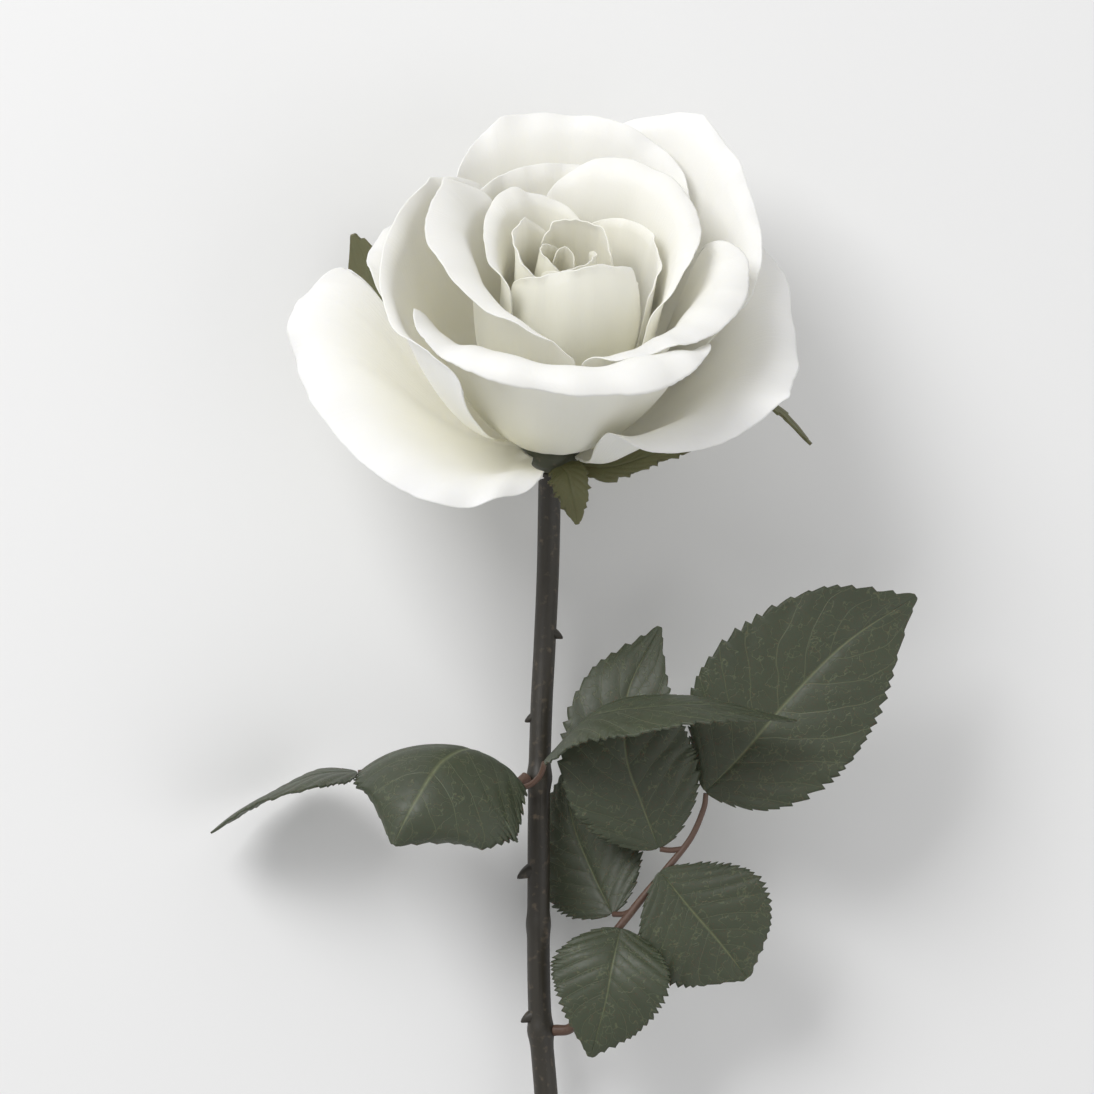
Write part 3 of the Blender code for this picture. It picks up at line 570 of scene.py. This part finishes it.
class Look:
    """A Principled material that is put together by adding nodes."""

    def __init__(self, name, **constants):
        self.material = bpy.data.materials.new(name)
        self.material.use_nodes = True
        self.tree = self.material.node_tree
        self.surface = self.tree.nodes["Principled BSDF"]
        for key, value in constants.items():
            self.surface.inputs[key.replace("_", " ").title()].default_value = value

    def add(self, kind, settings=None, inputs=None, output=0):
        node = self.tree.nodes.new(kind)
        for key, value in (settings or {}).items():
            setattr(node, key, value)
        for key, value in (inputs or {}).items():
            self.feed(node.inputs[key], value)
        return Value(self, node.outputs[output])

    def feed(self, socket, value):
        if isinstance(value, Value):
            self.tree.links.new(value.socket, socket)
        else:
            socket.default_value = value

    def mix(self, factor, a, b):
        """Colour a where the factor is 0 and b where it is 1."""
        a, b = ((*c, 1) if isinstance(c, tuple) else c for c in (a, b))
        return self.add("ShaderNodeMix", {"data_type": "RGBA"}, {0: factor, 6: a, 7: b}, 2)

    def mark(self, name):
        return self.add("ShaderNodeAttribute", {"attribute_name": name}, output="Fac")

    def coordinates(self):
        """The piece's UV, x and y apart."""
        uv = self.add("ShaderNodeUVMap", {"uv_map": "UVMap"})
        return (self.add("ShaderNodeSeparateXYZ", inputs={0: uv}, output=k) for k in (0, 1))

    def cloud(self, spot, scale, detail):
        inputs = {"Vector": spot, "Scale": scale, "Detail": detail}
        return self.add("ShaderNodeTexNoise", inputs=inputs, output="Fac")

    def noise(self, x, y, z=0.0):
        """Noise at a place made of three values, such as a stretched UV."""
        return self.cloud(self.add("ShaderNodeCombineXYZ", inputs={0: x, 1: y, 2: z}), 1.0, 3.0)

    def grain(self, scale, detail=3.0):
        """Noise through the object's own space."""
        return self.cloud(self.add("ShaderNodeTexCoord", output="Object"), scale, detail)

    def finish(self, color, roughness, height, distance, strength):
        """Feeds the surface; the height bumps it by this distance in metres."""
        inputs = {"Strength": strength, "Distance": distance, "Height": height}
        bump = self.add("ShaderNodeBump", inputs=inputs)
        for key, value in (("Base Color", color), ("Roughness", roughness), ("Normal", bump)):
            self.feed(self.surface.inputs[key], value)
        return self.material


# Colours, linear: the painted shade of a petal's inner side, of leaves, and pairs from dark to
# lighter
PETAL_PAINTED_SHADE = (.83, .80, .74)
VEIN_COLOR = (.17, .19, .09)
LEAF_UNDERSIDE = (.085, .10, .065)
SEPAL_COLOR, SEPAL_UNDERSIDE = (.105, .105, .040), (.15, .15, .08)
FLECK_COLOR = (.16, .12, .08)
STEM_COLORS = (.011, .009, .006), (.036, .030, .019)
HIP_COLORS = (.030, .034, .016), (.075, .080, .040)
STALK_COLORS = (.060, .026, .020), (.13, .075, .045)


def petal_look(rose):
    """White at the rim and cream towards the heart, partly the petals' own cream and partly
    painted warm shade deep in the bloom, with painted shade on the inner side, fine lengthwise
    streaks and a soft weave."""
    look = Look("petal_satin", subsurface_weight=.35, subsurface_scale=.005, sheen_weight=.15)
    look.surface.inputs["Subsurface Radius"].default_value = (1, .9, .6)
    across, up = look.coordinates()
    streak = look.noise(across * 150.0, up * 5.0)
    weave = look.grain(2600.0, 1.0)
    # partly painted shade: the mix towards the heart colour is partly the petals' own cream and
    # partly warm shade deep in the bloom
    cream_and_painted_shade = look.mark("cream_and_painted_shade") + (streak - .5) * .10
    color = look.mix(cream_and_painted_shade.math("MAXIMUM", 0.0), tuple(rose.petal_color), tuple(rose.heart_color))
    # painted shade: the inner side of each petal is mixed 30% towards a greyer, darker colour
    color_with_painted_shade = look.mix(look.mark("under") * .30, color, PETAL_PAINTED_SHADE)
    return look.finish(color_with_painted_shade, .52 + streak * .12, streak * .7 + weave * .3, .00012, .6)


def leaf_look(name, color, paler, veins):
    """Dark satin green with lighter veins, a mottled blade and a paler underside."""
    look = Look(name, subsurface_weight=.06, subsurface_scale=.002,
                coat_weight=.15, coat_roughness=.38)
    across, up = look.coordinates()
    side = abs(across * 2.0 - 1.0)
    wander = look.grain(55.0, 2.0) * .9
    lines = ((up - side * VEIN_SLANT) * VEINS + wander + 10.5) % 1.0 - .5
    fine = look.grain(900.0, 3.0)
    cross = (look.grain(330.0, 2.0) - .5).line(.018) * .5
    vein = (lines.line(.030) * .55).math("MAXIMUM", side.line(.03))
    vein = vein.math("MAXIMUM", cross) * veins
    mottle = look.grain(70.0, 4.0)
    blade = look.mix(mottle, tuple(.75 * c for c in color), tuple(1.3 * c for c in color))
    blade = look.mix(look.mark("under") * .55, blade, paler)
    blade = look.mix(vein * (.25 + .6 * fine), blade, VEIN_COLOR)
    return look.finish(blade, .42 + fine * .25, fine * .35 - vein * .6 + mottle * .3, .00025, .7)


def bark_look(name, color, lighter, scale):
    """Smooth young bark: lengthwise streaks from dark to lighter, small flecks, a satin
    skin."""
    look = Look(name, coat_weight=.1, coat_roughness=.35)
    around, along = look.coordinates()
    streak = look.noise(around.math("SINE") * 6.0, along * .55, around * 9.0)
    fleck = look.grain(scale, 3.0)
    blend = look.mix(streak, color, lighter)
    blend = look.mix((fleck - .58).math("MAXIMUM", 0.0) * 3.0, blend, FLECK_COLOR)
    return look.finish(blend, .38 + fleck * .25, streak * .6 + fleck * .4, .0003, .6)


# ---------------------------------------------------------------- the add-on


class RoseSettings(bpy.types.PropertyGroup):
    petal_color: bpy.props.FloatVectorProperty(
        name="Petal colour", description="Colour of a petal's rim",
        subtype="COLOR", default=(.93, .93, .915), min=0, max=1)
    # deep in the bloom this colour is partly the petals' own cream and partly painted warm shade
    heart_color: bpy.props.FloatVectorProperty(
        name="Heart colour", description="Colour deep in the bloom",
        subtype="COLOR", default=(.90, .86, .55), min=0, max=1)
    leaf_color: bpy.props.FloatVectorProperty(
        name="Leaf colour", description="Colour of the leaflets' upper side",
        subtype="COLOR", default=(.036, .046, .022), min=0, max=1)
    petal_thickness: bpy.props.FloatProperty(
        name="Petal thickness", description="Thickness at a petal's root",
        subtype="DISTANCE", unit="LENGTH", default=.0005, min=.0001, max=.002)
    ruffle: bpy.props.FloatProperty(
        name="Ruffle", description="Height of the rims' ruffles",
        subtype="DISTANCE", unit="LENGTH", default=.0026, min=0, max=.004)
    tooth: bpy.props.FloatProperty(
        name="Leaf teeth", description="Depth of the leaflets' teeth in millimetres",
        default=1.5, min=0, max=4)


class ROSE_OT_petals(bpy.types.Operator):
    """Builds every petal of the bloom"""
    bl_idname = "rose.petals"
    bl_label = "Petals"

    def execute(self, context):
        rose = context.scene.rose
        looks = petal_look(rose)
        for number, p in enumerate(PETALS, 1):
            petal_piece(p, number, looks, rose)
        return {"FINISHED"}


class ROSE_OT_leaflets(bpy.types.Operator):
    """Builds the toothed leaflets of both leaves"""
    bl_idname = "rose.leaflets"
    bl_label = "Leaflets"

    def execute(self, context):
        rose = context.scene.rose
        looks = leaf_look("leaf_satin", tuple(rose.leaf_color), LEAF_UNDERSIDE, 1.0)
        for leaf in LEAFLETS:
            leaf_piece(leaf, looks, "leaf", teeth=24, tooth=rose.tooth, pucker=1.6, thickness=.45)
        return {"FINISHED"}


class ROSE_OT_sepals(bpy.types.Operator):
    """Builds the sepals under the bloom"""
    bl_idname = "rose.sepals"
    bl_label = "Sepals"

    def execute(self, context):
        looks = leaf_look("sepal_olive", SEPAL_COLOR, SEPAL_UNDERSIDE, .5)
        for leaf in SEPALS:
            leaf_piece(leaf, looks, "sepal", teeth=7, tooth=1.5, pucker=.8, thickness=.6)
        return {"FINISHED"}


class ROSE_OT_stem(bpy.types.Operator):
    """Builds the stem with its thorns and leaf rings, and the hip"""
    bl_idname = "rose.stem"
    bl_label = "Stem and hip"

    def execute(self, context):
        y = -np.linspace(-STEM_PATH[0][1], STEM_LENGTH_MM, STEM_ROWS)
        path = np.array([stem_axis(spot) for spot in y])
        shells = [tube(path, stem_radius(y), 40)] + [thorn(*each) for each in THORNS]
        points, faces, uv = joined(shells)
        bark = bark_look("bark_brown", *STEM_COLORS, 500.0)
        mesh_piece("stem_bark", points, faces, uv, {}, bark, "stem")
        profile = smooth_points(HIP_PROFILE, np.linspace(0, 1, HIP_ROWS)) * MM
        profile[:, 0] = np.maximum(profile[:, 0], 0)
        profile[0, 0] = profile[-1, 0] = 1e-6
        angle = np.linspace(0, 2 * np.pi, HIP_SIDES, endpoint=False)
        ring = np.cos(angle)[:, None] * RIGHT + np.sin(angle)[:, None] * BACK
        points = profile[:, 0, None, None] * ring + profile[:, 1, None, None] * AXIS
        uv = np.stack(np.broadcast_arrays(
            angle[None, :] / (2 * np.pi), profile[:, 1, None] * 100), -1).reshape(-1, 2)
        faces = grid_faces(HIP_ROWS, HIP_SIDES, wrap=True)[:, ::-1]
        skin = bark_look("hip_green", *HIP_COLORS, 700.0)
        mesh_piece("hip_skin", points.reshape(-1, 3), faces, uv, {}, skin, "hip")
        return {"FINISHED"}


class ROSE_OT_stalks(bpy.types.Operator):
    """Builds the two leaf stalks with their side stalks"""
    bl_idname = "rose.stalks"
    bl_label = "Leaf stalks"

    def execute(self, context):
        looks = bark_look("stalk_russet", *STALK_COLORS, 900.0)
        for name, rib, radii, stalks in (
                ("leaf_rachis", LEAF_RACHIS, [1.3, 1.0, .9, .7, .6], LEAF_STALKS),
                ("side_rachis", SIDE_RACHIS, [1.5, 1.1, .9, .8, .6], SIDE_STALKS)):
            x = np.linspace(0, 1, RACHIS_ROWS)
            shells = [tube(smooth_points(rib, x) * MM, smooth(radii, x) * MM, 24)]
            x = np.linspace(0, 1, STALK_ROWS)
            thin = np.full(STALK_ROWS, STALK_RADIUS * MM)
            shells += [tube(smooth_points(stalk, x) * MM, thin, 16) for stalk in stalks]
            points, faces, uv = joined(shells)
            mesh_piece(name + "_skin", points, faces, uv, {}, looks, name)
        return {"FINISHED"}


FLOOR_REACH = 4
WORLD_STRENGTH = .60
LAMPS = (  # name, place, size, power
    ("key", (-.85, .85, 1.0), .7, 14.5),
    ("fill", (.9, -.5, 1.1), 1.2, 3),
)
SENSOR_MM = 36
CAMERA_DISTANCE = 1.3
VIEW_WIDTH = .246  # metres of the rose's own plane that the view spans
VIEW_CENTER = (-.0007, -.0185)


class ROSE_OT_stage(bpy.types.Operator):
    """Sets the floor, the soft lights and the camera above the rose"""
    bl_idname = "rose.stage"
    bl_label = "Stage"

    def execute(self, context):
        scene = context.scene
        mesh = bpy.data.meshes.new("floor")
        corners = [(x * FLOOR_REACH, y * FLOOR_REACH, 0)
                   for x, y in ((-1, -1), (1, -1), (1, 1), (-1, 1))]
        mesh.from_pydata(corners, [], [(0, 1, 2, 3)])
        floor = bpy.data.objects.new("floor", mesh)
        scene.collection.objects.link(floor)
        paper = Look("floor_pale", roughness=.9)
        paper.surface.inputs["Base Color"].default_value = (.80, .80, .80, 1)
        mesh.materials.append(paper.material)
        world = bpy.data.worlds.new("studio")
        world.use_nodes = True
        background = world.node_tree.nodes["Background"]
        background.inputs["Color"].default_value = (1, 1, 1, 1)
        background.inputs["Strength"].default_value = WORLD_STRENGTH
        scene.world = world
        for name, spot, size, power in LAMPS:
            lamp = bpy.data.lights.new(name, "AREA")
            lamp.size, lamp.energy = size, power
            light = bpy.data.objects.new(name, lamp)
            light.location = spot
            light.rotation_euler = (-light.location).to_track_quat("-Z", "Y").to_euler()
            scene.collection.objects.link(light)
        lens = bpy.data.cameras.new("camera")
        lens.sensor_width, lens.clip_end = SENSOR_MM, 20
        lens.lens = SENSOR_MM * CAMERA_DISTANCE / VIEW_WIDTH
        camera = bpy.data.objects.new("camera", lens)
        camera.matrix_world = LIE @ Matrix.Translation((*VIEW_CENTER, CAMERA_DISTANCE))
        scene.collection.objects.link(camera)
        scene.camera = camera
        scene.view_settings.view_transform = "Standard"
        return {"FINISHED"}


OPERATORS = (ROSE_OT_petals, ROSE_OT_leaflets, ROSE_OT_sepals, ROSE_OT_stem, ROSE_OT_stalks,
             ROSE_OT_stage)


class ROSE_PT_panel(bpy.types.Panel):
    """Lists the rose's pieces and settings"""
    bl_label = "Cut rose"
    bl_idname = "ROSE_PT_panel"
    bl_space_type = "VIEW_3D"
    bl_region_type = "UI"
    bl_category = "Rose"

    def draw(self, context):
        for key in RoseSettings.__annotations__:
            self.layout.prop(context.scene.rose, key)
        for operator in OPERATORS:
            self.layout.operator(operator.bl_idname)


CLASSES = (RoseSettings,) + OPERATORS + (ROSE_PT_panel,)


def register():
    for each in CLASSES:
        bpy.utils.register_class(each)
    bpy.types.Scene.rose = bpy.props.PointerProperty(type=RoseSettings)


def unregister():
    del bpy.types.Scene.rose
    for each in reversed(CLASSES):
        bpy.utils.unregister_class(each)


def main():
    register()
    for operator in OPERATORS:
        group, name = operator.bl_idname.split(".")
        getattr(getattr(bpy.ops, group), name)()


if __name__ == "__main__":
    main()
